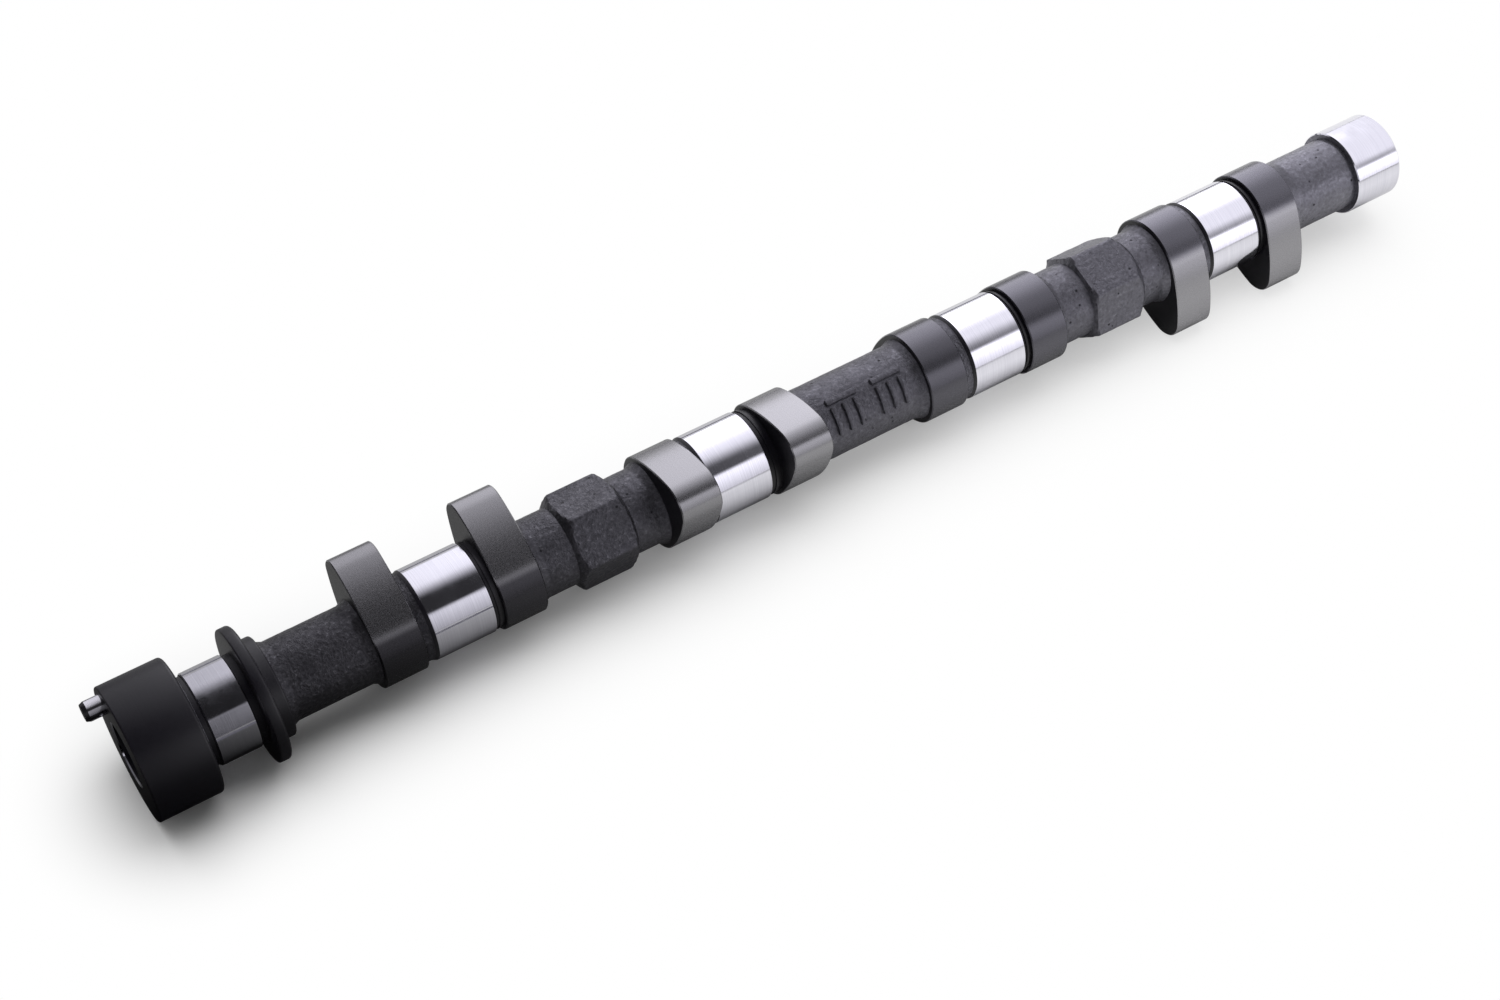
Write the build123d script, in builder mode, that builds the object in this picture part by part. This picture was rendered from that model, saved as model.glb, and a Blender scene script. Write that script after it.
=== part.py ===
from build123d import *
import math
import os

# Camshaft of an overhead-cam engine: one chilled-iron casting, turned and ground, with a dowel pin
# pressed into its nose. It lies along X with its nose at -X, on the plane Z = 0. Millimetres.

# Stations along the shaft, measured from the front face of the nose.
SHAFT_LENGTH = 444.3
NOSE_LENGTH = 19.2
FIRST_JOURNAL = (21.5, 33.7)
FLANGE = (35.8, 39.4)
COLLAR_END = 43.3
SECOND_BEARING = 97.3
BEARING_PITCH = 92.5
LAST_JOURNAL_START = 426.3

# Radii of the turned and ground parts, and of the casting between them.
NOSE_RADIUS = 20.4
FLANGE_RADIUS = 20.35
COLLAR_RADIUS = 15.15
JOURNAL_RADIUS = 13.975
NECK_RADIUS = 13.3
RING_RADIUS = 13.65
LAND_RADIUS = 13.1
CAST_RADIUS = 12.1

# The four journals that stand between a pair of lobes, and the edges of every turned part.
JOURNAL_WIDTH = 18.5
LEAD_IN = 1.7
RING_WIDTH = 0.7
JOURNAL_EDGE = 0.3
TAIL_CHAMFER = 0.8
FRONT_ROUNDING = 0.5
REAR_ROUNDING = 1.0
COLLAR_ROUNDING = 0.7

# Cam lobes: a base circle, two convex flanks and a round nose.
BASE_RADIUS = 14.72
LIFT = 10.3
NOSE_ARC = 7.2
FLANK_START = 78.0
LOBE_WIDTH = 13.35
LOBE_EDGE = 0.3
# From a bearing's middle to the middles of the lobes before and after it, nose to tail.
LOBE_OFFSETS = ((19.6, 18.6), (18.6, 19.6), (19.6, 18.2), (19.3, 18.6))
# Where each pair of lobes points, in degrees from straight up toward -Y.
LOBE_ANGLES = (-45.0, 45.0, 225.0, 135.0)
# Cast fillets from a lobe's side down to the shaft. The last one is longer.
LAND_LENGTH = 2.4
LAST_LAND_LENGTH = 4.7

# Wrench hexes: stations of the full corners, slopes at both ends, and the angle of one corner.
HEX_STATIONS = ((136.6, 152.2), (320.2, 336.3))
HEX_SLOPES = ((2.2, 2.1), (1.0, 3.1))
HEX_ANGLES = (-45.0, 45.0)
HEX_CORNER = 15.4
HEX_CORNER_CUT = 15.2

# Raised foundry marks, plain bars over rows of pips, on the bare shaft in the middle.
MARK_STATIONS = (229.0, 245.0)
MARK_RELIEF = 0.5
BAR_ANGLE = 21.0
BAR_SIZE = (10.5, 1.5)
PIP_ANGLES = (38.0, 55.0)
PIP_RADIUS = 0.9
PIP_PITCH = 3.2
PIPS_IN_ROW = 3

# Nose: recess, bolt hole and dowel pin. Tail: the centre on which the shaft turns to be ground.
RECESS_RADIUS = 9.5
RECESS_DEPTH = 3.0
BOLT_HOLE_RADIUS = 5.1
BOLT_HOLE_DEPTH = 36.0
BOLT_MOUTH = 1.0
DRILL_POINT = 3.0
PIN_RADIUS = 3.0
PIN_PROUD = 5.7
PIN_SEATED = 9.0
PIN_CIRCLE = 15.5
PIN_ANGLE = -45.0
PIN_TAPER_LENGTH = 1.25
PIN_TAPER_DEPTH = 0.45
CENTRE_RADIUS = 3.2
CENTRE_DEPTH = 5.5

# The frame: X along the shaft with the whole length centred, Z up from the lowest point.
FRONT = Vector(PIN_PROUD - (SHAFT_LENGTH + PIN_PROUD) / 2, 0, NOSE_RADIUS)
SHAFT_AXIS = Axis(FRONT, (1, 0, 0))
# Half section through the shaft: its x is the station and its y is the radius.
HALF_SECTION = Plane(origin=FRONT, x_dir=(1, 0, 0), z_dir=(0, -1, 0))


def outward(angle):
    """Direction away from the shaft, in degrees from straight up toward -Y."""
    return Vector(0, -math.sin(math.radians(angle)), math.cos(math.radians(angle)))


def across(station, angle=0):
    """Plane across the shaft, facing the tail, with its x turned outward at an angle."""
    return Plane(origin=FRONT + Vector(station, 0, 0), x_dir=outward(angle), z_dir=(1, 0, 0))


def skin(station, angle):
    """Plane that touches the bare shaft from outside, with its x along the shaft."""
    origin = FRONT + Vector(station, 0, 0) + outward(angle) * CAST_RADIUS
    return Plane(origin=origin, x_dir=(1, 0, 0), z_dir=outward(angle))


def rims(part, radius):
    """The part's round edges of one radius, from nose to tail."""
    circles = part.edges().filter_by(GeomType.CIRCLE)
    return circles.filter_by(lambda rim: abs(rim.radius - radius) < 0.001).sort_by(Axis.X)


def half_section(steps):
    """Closed outline of stacked cylinders and cones, each (start, end, first radius, last radius)."""
    points = [(steps[0][0], 0)]
    for start, end, first, last in steps:
        points += [(start, first), (end, last)]
    points.append((steps[-1][1], 0))
    return [point for point, after in zip(points, points[1:] + [None]) if point != after]


# Bearings and lobes, nose to tail.
bearing_middles = [SECOND_BEARING + number * BEARING_PITCH for number in range(len(LOBE_OFFSETS))]
lobe_places = []
for middle, offsets, angle in zip(bearing_middles, LOBE_OFFSETS, LOBE_ANGLES):
    lobe_places.append((middle - offsets[0], angle))
    lobe_places.append((middle + offsets[1], angle))

# Turned shaft at the nose: boss, first journal, thrust flange and collar.
steps = [
    (0, NOSE_LENGTH, NOSE_RADIUS, NOSE_RADIUS),
    (NOSE_LENGTH, FIRST_JOURNAL[0], NECK_RADIUS, NECK_RADIUS),
    (FIRST_JOURNAL[0], FIRST_JOURNAL[1], JOURNAL_RADIUS, JOURNAL_RADIUS),
    (FIRST_JOURNAL[1], FLANGE[0], NECK_RADIUS, NECK_RADIUS),
    (FLANGE[0], FLANGE[1], FLANGE_RADIUS, FLANGE_RADIUS),
    (FLANGE[1], COLLAR_END, COLLAR_RADIUS, COLLAR_RADIUS),
    (COLLAR_END, COLLAR_END + LAND_LENGTH, LAND_RADIUS, CAST_RADIUS),
]

# Then, at each middle bearing: land, neck, lead-in, journal, neck with a thin ring, and land.
for middle, offsets in zip(bearing_middles, LOBE_OFFSETS):
    pair_start = middle - offsets[0] - LOBE_WIDTH / 2
    pair_end = middle + offsets[1] + LOBE_WIDTH / 2
    journal_start = middle - JOURNAL_WIDTH / 2
    journal_end = middle + JOURNAL_WIDTH / 2
    ring_start = (journal_end + pair_end - LOBE_WIDTH - RING_WIDTH) / 2
    ring_end = ring_start + RING_WIDTH
    land = LAST_LAND_LENGTH if middle == bearing_middles[-1] else LAND_LENGTH
    steps += [
        (steps[-1][1], pair_start - LAND_LENGTH, CAST_RADIUS, CAST_RADIUS),
        (pair_start - LAND_LENGTH, pair_start, CAST_RADIUS, LAND_RADIUS),
        (pair_start, journal_start - LEAD_IN, NECK_RADIUS, NECK_RADIUS),
        (journal_start - LEAD_IN, journal_start, NECK_RADIUS, JOURNAL_RADIUS),
        (journal_start, journal_end, JOURNAL_RADIUS, JOURNAL_RADIUS),
        (journal_end, ring_start, NECK_RADIUS, NECK_RADIUS),
        (ring_start, ring_end, RING_RADIUS, RING_RADIUS),
        (ring_end, pair_end, NECK_RADIUS, NECK_RADIUS),
        (pair_end, pair_end + land, LAND_RADIUS, CAST_RADIUS),
    ]

# Last come the bare shaft behind the lobes and the tail journal.
steps += [
    (steps[-1][1], LAST_JOURNAL_START, CAST_RADIUS, CAST_RADIUS),
    (LAST_JOURNAL_START, SHAFT_LENGTH, JOURNAL_RADIUS, JOURNAL_RADIUS),
]

# Cam outline, nose toward +x: each flank is an arc that runs smoothly from base circle to nose arc.
nose_centre = Vector(BASE_RADIUS + LIFT - NOSE_ARC, 0)
shrink = BASE_RADIUS - NOSE_ARC
start_angle = math.radians(FLANK_START)
start_direction = Vector(math.cos(start_angle), math.sin(start_angle))
flank_offset = (nose_centre.X**2 - shrink**2) / (2 * (shrink - nose_centre.X * start_direction.X))
flank_centre = start_direction * -flank_offset
flank_radius = BASE_RADIUS + flank_offset
base_joint = start_direction * BASE_RADIUS
nose_joint = flank_centre + (nose_centre - flank_centre).normalized() * flank_radius
flank_middle = flank_centre + ((nose_joint + base_joint) / 2 - flank_centre).normalized() * flank_radius

# Lobes: two for each cylinder, pointing a quarter turn from the next pair.
lobes = []
for middle, angle in lobe_places:
    with BuildPart() as lobe:
        with BuildSketch(across(middle - LOBE_WIDTH / 2, angle)):
            with BuildLine():
                flank = ThreePointArc(base_joint, flank_middle, nose_joint)
                other_flank = mirror(flank, about=Plane.XZ)
                ThreePointArc(nose_joint, nose_centre + Vector(NOSE_ARC, 0), other_flank @ 1)
                ThreePointArc(base_joint, (-BASE_RADIUS, 0), other_flank @ 0)
            make_face()
        extrude(amount=LOBE_WIDTH)
        sides = lobe.faces().filter_by(Axis.X)
        chamfer(sides.edges(), LOBE_EDGE)
    lobes.append(lobe.part)

# Wrench hexes: a turned blank with sloping ends, cut to six flats.
hexes = []
for (start, end), (front_slope, rear_slope), angle in zip(HEX_STATIONS, HEX_SLOPES, HEX_ANGLES):
    blank = [
        (start - front_slope, start, CAST_RADIUS, HEX_CORNER_CUT),
        (start, end, HEX_CORNER_CUT, HEX_CORNER_CUT),
        (end, end + rear_slope, HEX_CORNER_CUT, CAST_RADIUS),
    ]
    with BuildPart() as wrench_hex:
        with BuildSketch(HALF_SECTION):
            with BuildLine():
                Polyline(*half_section(blank), close=True)
            make_face()
        revolve(axis=SHAFT_AXIS)
        with BuildSketch(across(start - front_slope, angle)):
            RegularPolygon(HEX_CORNER, 6)
        extrude(amount=front_slope + end - start + rear_slope, mode=Mode.INTERSECT)
    hexes.append(wrench_hex.part)

# The casting: turned shaft, lobes, hexes and marks are one piece of iron.
with BuildPart() as camshaft:
    with BuildSketch(HALF_SECTION):
        with BuildLine():
            Polyline(*half_section(steps), close=True)
        make_face()
    revolve(axis=SHAFT_AXIS)

    # Rounded rims of the nose boss, the thrust flange and its collar.
    fillet(rims(camshaft, NOSE_RADIUS)[0], FRONT_ROUNDING)
    fillet(rims(camshaft, NOSE_RADIUS)[-1], REAR_ROUNDING)
    fillet(rims(camshaft, FLANGE_RADIUS)[0], FRONT_ROUNDING)
    fillet(rims(camshaft, FLANGE_RADIUS)[-1], REAR_ROUNDING)
    fillet(rims(camshaft, COLLAR_RADIUS), COLLAR_ROUNDING)

    # Ground edges of the journals. The lead-ins take the place of a chamfer at the middle ones' fronts.
    chamfer(rims(camshaft, JOURNAL_RADIUS)[-1], TAIL_CHAMFER)
    journal_rims = rims(camshaft, JOURNAL_RADIUS)
    chamfer([journal_rims[0], *journal_rims[1:-2:2], journal_rims[-2]], JOURNAL_EDGE)

    add(lobes)
    add(hexes)

    # Foundry marks in low relief.
    for station in MARK_STATIONS:
        with BuildSketch(skin(station, BAR_ANGLE)):
            SlotOverall(*BAR_SIZE)
        extrude(amount=MARK_RELIEF, both=True)
        for angle in PIP_ANGLES:
            with BuildSketch(skin(station, angle)):
                with GridLocations(PIP_PITCH, 0, PIPS_IN_ROW, 1):
                    Circle(PIP_RADIUS)
            extrude(amount=MARK_RELIEF, both=True)

    # Hollow of the nose: recess for the bolt's head, mouth, bolt hole and drill point.
    mouth_end = RECESS_DEPTH + BOLT_MOUTH
    hole_end = RECESS_DEPTH + BOLT_HOLE_DEPTH
    nose_hollow = [
        (0, RECESS_DEPTH, RECESS_RADIUS, RECESS_RADIUS),
        (RECESS_DEPTH, mouth_end, BOLT_HOLE_RADIUS + BOLT_MOUTH, BOLT_HOLE_RADIUS),
        (mouth_end, hole_end, BOLT_HOLE_RADIUS, BOLT_HOLE_RADIUS),
        (hole_end, hole_end + DRILL_POINT, BOLT_HOLE_RADIUS, 0),
    ]
    with BuildSketch(HALF_SECTION):
        with BuildLine():
            Polyline(*half_section(nose_hollow), close=True)
        make_face()
    revolve(axis=SHAFT_AXIS, mode=Mode.SUBTRACT)

    # Blind hole that the dowel pin is pressed into.
    with BuildSketch(across(0, PIN_ANGLE)):
        with Locations((PIN_CIRCLE, 0)):
            Circle(PIN_RADIUS)
    extrude(amount=PIN_SEATED, mode=Mode.SUBTRACT)

    # Cone drilled in the tail face.
    with BuildSketch(HALF_SECTION):
        with BuildLine():
            tail_centre = [(SHAFT_LENGTH - CENTRE_DEPTH, SHAFT_LENGTH, 0, CENTRE_RADIUS)]
            Polyline(*half_section(tail_centre), close=True)
        make_face()
    revolve(axis=SHAFT_AXIS, mode=Mode.SUBTRACT)

# The hardened dowel pin that times the sprocket to the shaft, tapered at its tip.
with BuildPart() as dowel_pin:
    with BuildSketch(across(-PIN_PROUD, PIN_ANGLE)):
        with Locations((PIN_CIRCLE, 0)):
            Circle(PIN_RADIUS)
    extrude(amount=PIN_PROUD + PIN_SEATED)
    tip = dowel_pin.faces().sort_by(Axis.X)[0]
    chamfer(tip.edges(), PIN_TAPER_DEPTH, PIN_TAPER_LENGTH, reference=tip)

camshaft.part.label = "camshaft"
dowel_pin.part.label = "dowel_pin"

os.makedirs("parts", exist_ok=True)
export_step(camshaft.part, "parts/camshaft.step")
export_step(dowel_pin.part, "parts/dowel_pin.step")
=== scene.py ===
import bpy
import bmesh
import math
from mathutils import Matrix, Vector


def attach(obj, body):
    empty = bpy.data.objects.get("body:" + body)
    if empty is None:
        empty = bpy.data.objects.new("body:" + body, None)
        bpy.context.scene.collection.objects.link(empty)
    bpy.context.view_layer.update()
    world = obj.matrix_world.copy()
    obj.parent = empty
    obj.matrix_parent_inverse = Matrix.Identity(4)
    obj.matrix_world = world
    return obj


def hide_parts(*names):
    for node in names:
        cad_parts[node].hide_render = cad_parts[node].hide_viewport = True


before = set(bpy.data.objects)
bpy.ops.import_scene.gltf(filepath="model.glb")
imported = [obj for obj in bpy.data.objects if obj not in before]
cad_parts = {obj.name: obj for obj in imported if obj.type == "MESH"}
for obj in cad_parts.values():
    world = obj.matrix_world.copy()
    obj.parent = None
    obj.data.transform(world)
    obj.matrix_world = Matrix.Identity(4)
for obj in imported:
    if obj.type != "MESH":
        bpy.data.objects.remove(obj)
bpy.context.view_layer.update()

# The casting. One piece of chilled iron carries the nose boss, the journals, the thrust flange and the
# wrench hexes. It is cast in sand, then turned, and only its journals are ground bright. Stations are
# millimetres from the nose face, and angles are degrees from straight up toward the near side.
MM = 0.001
SHAFT_LENGTH = 444.3
PIN_PROUD = 5.7
AXIS_HEIGHT = 20.4
NOSE_FACE_X = PIN_PROUD - (SHAFT_LENGTH + PIN_PROUD) / 2

NOSE_RADIUS = 20.4
NOSE_LENGTH = 19.2
NOSE_FRONT_ROUND = 0.5
NOSE_REAR_ROUND = 1.0
RECESS_RADIUS = 9.5
RECESS_DEPTH = 3.0
RECESS_EDGE = 0.4
BOLT_HOLE_RADIUS = 5.1
BOLT_HOLE_DEPTH = 36.0
BOLT_MOUTH = 1.0
DRILL_POINT = 3.0
FIRST_JOURNAL = (21.5, 33.7)
FLANGE = (35.8, 39.4)
FLANGE_RADIUS = 20.35
FLANGE_FRONT_ROUND = 0.5
FLANGE_REAR_ROUND = 1.0
FLANGE_FILLET = 0.7
COLLAR_END = 43.3
COLLAR_RADIUS = 15.15
COLLAR_ROUND = 0.7
JOURNAL_RADIUS = 13.975
JOURNAL_WIDTH = 18.5
JOURNAL_EDGE = 0.3
LEAD_IN = 1.7
LEAD_CUT = 1.1
NECK_RADIUS = 13.3
RING_RADIUS = 13.65
RING_WIDTH = 0.7
LAND_RADIUS = 13.1
LAND_LENGTH = 2.4
LAST_LAND_LENGTH = 4.7
CAST_RADIUS = 12.1
LAST_JOURNAL_START = 426.3
TAIL_CHAMFER = 0.8
CENTRE_RADIUS = 3.2
CENTRE_DEPTH = 5.5

BEARING_MIDDLES = [97.3 + 92.5 * number for number in range(4)]
LOBE_WIDTH = 13.35
LOBE_OFFSETS = ((19.6, 18.6), (18.6, 19.6), (19.6, 18.2), (19.3, 18.6))
LOBE_TURNS = (-45.0, 45.0, 225.0, 135.0)

HEX_STATIONS = ((136.6, 152.2), (320.2, 336.3))
HEX_SLOPES = ((2.2, 2.1), (1.0, 3.1))
HEX_TURNS = (-45.0, 45.0)
HEX_BEFORE_PAIR = {1: 0, 3: 1}
HEX_FLAT_RADIUS = 13.34
HEX_CORNER_RADIUS = 15.2
HEX_SOFTNESS = 0.25

# How strongly the sand skin shows: fully on bare shaft, less on the lands and little where it meets a cut.
BARE_CAST = 1.0
LAND_CAST = 0.8
COLLAR_LAND_CAST = 0.7
CAST_AT_CUT = 0.35

AROUND = 240
CAST_STEP = 0.62
ROUND_STEPS = 4
BAND_INSET = 0.12
SAME_POINT = 0.002
AS_CAST, TURNED, GROUND = 0, 1, 2


def place(station, angle, radius):
    """Point of the shaft in the row frame, in metres."""
    turn = math.radians(angle)
    across = Vector((0, -math.sin(turn), math.cos(turn))) * radius
    return Vector((NOSE_FACE_X + station, 0, AXIS_HEIGHT)) * MM + across * MM


def mesh_of(shape, name):
    """Mesh of a bmesh, which is freed."""
    mesh = bpy.data.meshes.new(name)
    shape.to_mesh(mesh)
    shape.free()
    return mesh


def put(name, data):
    """Object of a mesh, lamp or camera, put in the scene."""
    made = bpy.data.objects.new(name, data)
    bpy.context.collection.objects.link(made)
    return made


def ring_mesh(name, rings, to_point=place, loop=False):
    """Closed skin over rings of (station, radius or radius by angle, how cast it is, finish)."""
    shape = bmesh.new()
    cast_layer = shape.verts.layers.float.new("cast")
    loops = []
    for station, reach, cast, _ in rings:
        ring = []
        for number in range(AROUND):
            angle = 360.0 * number / AROUND
            radius = reach(angle) if callable(reach) else reach
            vert = shape.verts.new(to_point(station, angle, radius))
            vert[cast_layer] = cast
            ring.append(vert)
        loops.append(ring)
    last = len(loops) if loop else len(loops) - 1
    for index in range(last):
        ring, after = loops[index], loops[(index + 1) % len(loops)]
        for number in range(AROUND):
            other = (number + 1) % AROUND
            face = shape.faces.new((ring[number], ring[other], after[other], after[number]))
            face.material_index = rings[index][3]
            face.smooth = True
    bmesh.ops.remove_doubles(shape, verts=shape.verts, dist=SAME_POINT * MM)
    bmesh.ops.recalc_face_normals(shape, faces=shape.faces)
    return mesh_of(shape, name)


def run(rings, start, end, first, last, finish, cast=0.0, step=None):
    """Adds a cylinder or cone of rings from one station to another."""
    count = max(1, round((end - start) / step)) if step else 1
    for number in range(count + 1):
        part = number / count
        fade = CAST_AT_CUT if number in (0, count) else 1.0
        radius = first + (last - first) * part
        rings.append((start + (end - start) * part, radius, fade * cast, finish))


def rounding(rings, station, radius, size, finish, falling):
    """Adds a quarter-round rim, rising to a radius or falling from it."""
    for number in range(ROUND_STEPS + 1):
        step = number if falling else ROUND_STEPS - number
        turn = math.radians(90.0 * step / ROUND_STEPS)
        along = size * (math.sin(turn) - 1) if falling else size * (1 - math.sin(turn))
        rings.append((station + along, radius - size * (1 - math.cos(turn)), 0.0, finish))


def ground_band(rings, start, end):
    """Adds a polished journal, with rings close to its edges so that it mirrors straight right up to them."""
    for station in (start, start + BAND_INSET, end - BAND_INSET, end):
        rings.append((station, JOURNAL_RADIUS, 0.0, GROUND))


rings = []
hole_end = RECESS_DEPTH + BOLT_HOLE_DEPTH
mouth_end = RECESS_DEPTH + BOLT_MOUTH
for station, radius, finish in (
    (hole_end + DRILL_POINT, 0.0, TURNED),
    (hole_end, BOLT_HOLE_RADIUS, TURNED),
    (mouth_end, BOLT_HOLE_RADIUS, GROUND),
    (RECESS_DEPTH, BOLT_HOLE_RADIUS + BOLT_MOUTH, TURNED),
    (RECESS_DEPTH, RECESS_RADIUS, TURNED),
    (RECESS_EDGE, RECESS_RADIUS, GROUND),
    (0.0, RECESS_RADIUS + RECESS_EDGE, TURNED),
):
    rings.append((station, radius, 0.0, finish))
rounding(rings, 0.0, NOSE_RADIUS, NOSE_FRONT_ROUND, TURNED, falling=False)
rounding(rings, NOSE_LENGTH, NOSE_RADIUS, NOSE_REAR_ROUND, TURNED, falling=True)
first_start, first_end = FIRST_JOURNAL
edge_radius = JOURNAL_RADIUS - JOURNAL_EDGE
run(rings, NOSE_LENGTH, first_start, NECK_RADIUS, NECK_RADIUS, TURNED)
run(rings, first_start, first_start + JOURNAL_EDGE, edge_radius, JOURNAL_RADIUS, GROUND)
run(rings, first_end - JOURNAL_EDGE, first_end, JOURNAL_RADIUS, edge_radius, GROUND)
run(rings, first_end, FLANGE[0], NECK_RADIUS, NECK_RADIUS, TURNED)
rounding(rings, FLANGE[0], FLANGE_RADIUS, FLANGE_FRONT_ROUND, TURNED, falling=False)
rounding(rings, FLANGE[1], FLANGE_RADIUS, FLANGE_REAR_ROUND, TURNED, falling=True)
# The flange's rear face runs into the collar with a small radius.
for number in range(ROUND_STEPS + 1):
    turn = math.radians(90.0 * number / ROUND_STEPS)
    rings.append((
        FLANGE[1] + FLANGE_FILLET * (1 - math.cos(turn)),
        COLLAR_RADIUS + FLANGE_FILLET * (1 - math.sin(turn)),
        0.0,
        TURNED,
    ))
rounding(rings, COLLAR_END, COLLAR_RADIUS, COLLAR_ROUND, TURNED, falling=True)
station = COLLAR_END + LAND_LENGTH
run(rings, COLLAR_END, station, LAND_RADIUS, CAST_RADIUS, AS_CAST, COLLAR_LAND_CAST, CAST_STEP)


def hex_reach(blank, corner):
    """Radius by angle of a turned blank cut to six flats, with corners softened as in the mould."""
    def reach(angle):
        off = math.radians((angle - corner + 30.0) % 60.0 - 30.0)
        flat = HEX_FLAT_RADIUS / math.cos(math.radians(30.0) - abs(off))
        gap = max(0.0, 1.0 - abs(blank - flat) / HEX_SOFTNESS)
        return min(blank, flat) - HEX_SOFTNESS / 4 * gap * gap
    return reach


def cast_stretch(rings, start, end, hex_number=None):
    """Adds the rough shaft between two pairs of lobes, with the wrench hex that stands on it."""
    if hex_number is None:
        run(rings, start, end, CAST_RADIUS, CAST_RADIUS, AS_CAST, BARE_CAST, CAST_STEP)
        return
    hex_start, hex_end = HEX_STATIONS[hex_number]
    front, rear = HEX_SLOPES[hex_number]
    run(rings, start, hex_start - front, CAST_RADIUS, CAST_RADIUS, AS_CAST, BARE_CAST, CAST_STEP)
    whole = hex_end + rear - hex_start + front
    count = round(whole / CAST_STEP)
    for number in range(1, count):
        station = hex_start - front + whole * number / count
        rise = HEX_CORNER_RADIUS - CAST_RADIUS
        up_front = (station - hex_start + front) / front
        up_rear = (hex_end + rear - station) / rear
        blank = CAST_RADIUS + rise * min(1.0, up_front, up_rear)
        rings.append((station, hex_reach(blank, HEX_TURNS[hex_number]), BARE_CAST, AS_CAST))
    run(rings, hex_end + rear, end, CAST_RADIUS, CAST_RADIUS, AS_CAST, BARE_CAST, CAST_STEP)


for number, (middle, offsets) in enumerate(zip(BEARING_MIDDLES, LOBE_OFFSETS)):
    pair_start = middle - offsets[0] - LOBE_WIDTH / 2
    pair_end = middle + offsets[1] + LOBE_WIDTH / 2
    journal_start, journal_end = middle - JOURNAL_WIDTH / 2, middle + JOURNAL_WIDTH / 2
    ring_start = (journal_end + pair_end - LOBE_WIDTH - RING_WIDTH) / 2
    land_start = pair_start - LAND_LENGTH
    land = LAST_LAND_LENGTH if middle == BEARING_MIDDLES[-1] else LAND_LENGTH
    cast_stretch(rings, station, land_start, HEX_BEFORE_PAIR.get(number))
    run(rings, land_start, pair_start, CAST_RADIUS, LAND_RADIUS, AS_CAST, LAND_CAST, CAST_STEP)
    # The neck keeps the foundry's grey skin, which reaches a little onto the lead-in, up to the cut.
    cut_start = journal_start - LEAD_IN
    cut_radius = NECK_RADIUS + (JOURNAL_RADIUS - NECK_RADIUS) * (1 - LEAD_CUT / LEAD_IN)
    run(rings, pair_start, cut_start, NECK_RADIUS, NECK_RADIUS, AS_CAST)
    run(rings, cut_start, journal_start - LEAD_CUT, NECK_RADIUS, cut_radius, AS_CAST)
    run(rings, journal_start - LEAD_CUT, journal_start, cut_radius, JOURNAL_RADIUS, TURNED)
    ground_band(rings, journal_start, journal_end - JOURNAL_EDGE)
    run(rings, journal_end - JOURNAL_EDGE, journal_end, JOURNAL_RADIUS, edge_radius, GROUND)
    run(rings, journal_end, ring_start, NECK_RADIUS, NECK_RADIUS, TURNED)
    run(rings, ring_start, ring_start + RING_WIDTH, RING_RADIUS, RING_RADIUS, TURNED)
    run(rings, ring_start + RING_WIDTH, pair_end, NECK_RADIUS, NECK_RADIUS, TURNED)
    station = pair_end + land
    run(rings, pair_end, station, LAND_RADIUS, CAST_RADIUS, AS_CAST, LAND_CAST, CAST_STEP)
cast_stretch(rings, station, LAST_JOURNAL_START)
tail_edge = LAST_JOURNAL_START + JOURNAL_EDGE
run(rings, LAST_JOURNAL_START, tail_edge, edge_radius, JOURNAL_RADIUS, GROUND)
for station, radius in (
    (SHAFT_LENGTH - TAIL_CHAMFER, JOURNAL_RADIUS),
    (SHAFT_LENGTH, JOURNAL_RADIUS - TAIL_CHAMFER),
    (SHAFT_LENGTH, CENTRE_RADIUS),
    (SHAFT_LENGTH - CENTRE_DEPTH, 0.0),
):
    rings.append((station, radius, 0.0, GROUND))
casting = put("casting", ring_mesh("casting", rings))


def add_node(tree, kind, links=None, **settings):
    """Adds a node. Settings are its own properties; links give its inputs a value or a socket."""
    made = tree.nodes.new(kind)
    for name, value in settings.items():
        setattr(made, name, value)
    for name, value in (links or {}).items():
        if isinstance(value, bpy.types.NodeSocket):
            tree.links.new(value, made.inputs[name])
        else:
            made.inputs[name].default_value = value
    return made


def geometry_tree(name, inputs):
    """New tree that takes and gives geometry, with named inputs, and its input and output nodes."""
    made = bpy.data.node_groups.new(name, "GeometryNodeTree")
    for label, kind in (("Geometry", "Geometry"), *inputs):
        made.interface.new_socket(label, in_out="INPUT", socket_type="NodeSocket" + kind)
    made.interface.new_socket("Geometry", in_out="OUTPUT", socket_type="NodeSocketGeometry")
    return made, add_node(made, "NodeGroupInput"), add_node(made, "NodeGroupOutput")


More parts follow.
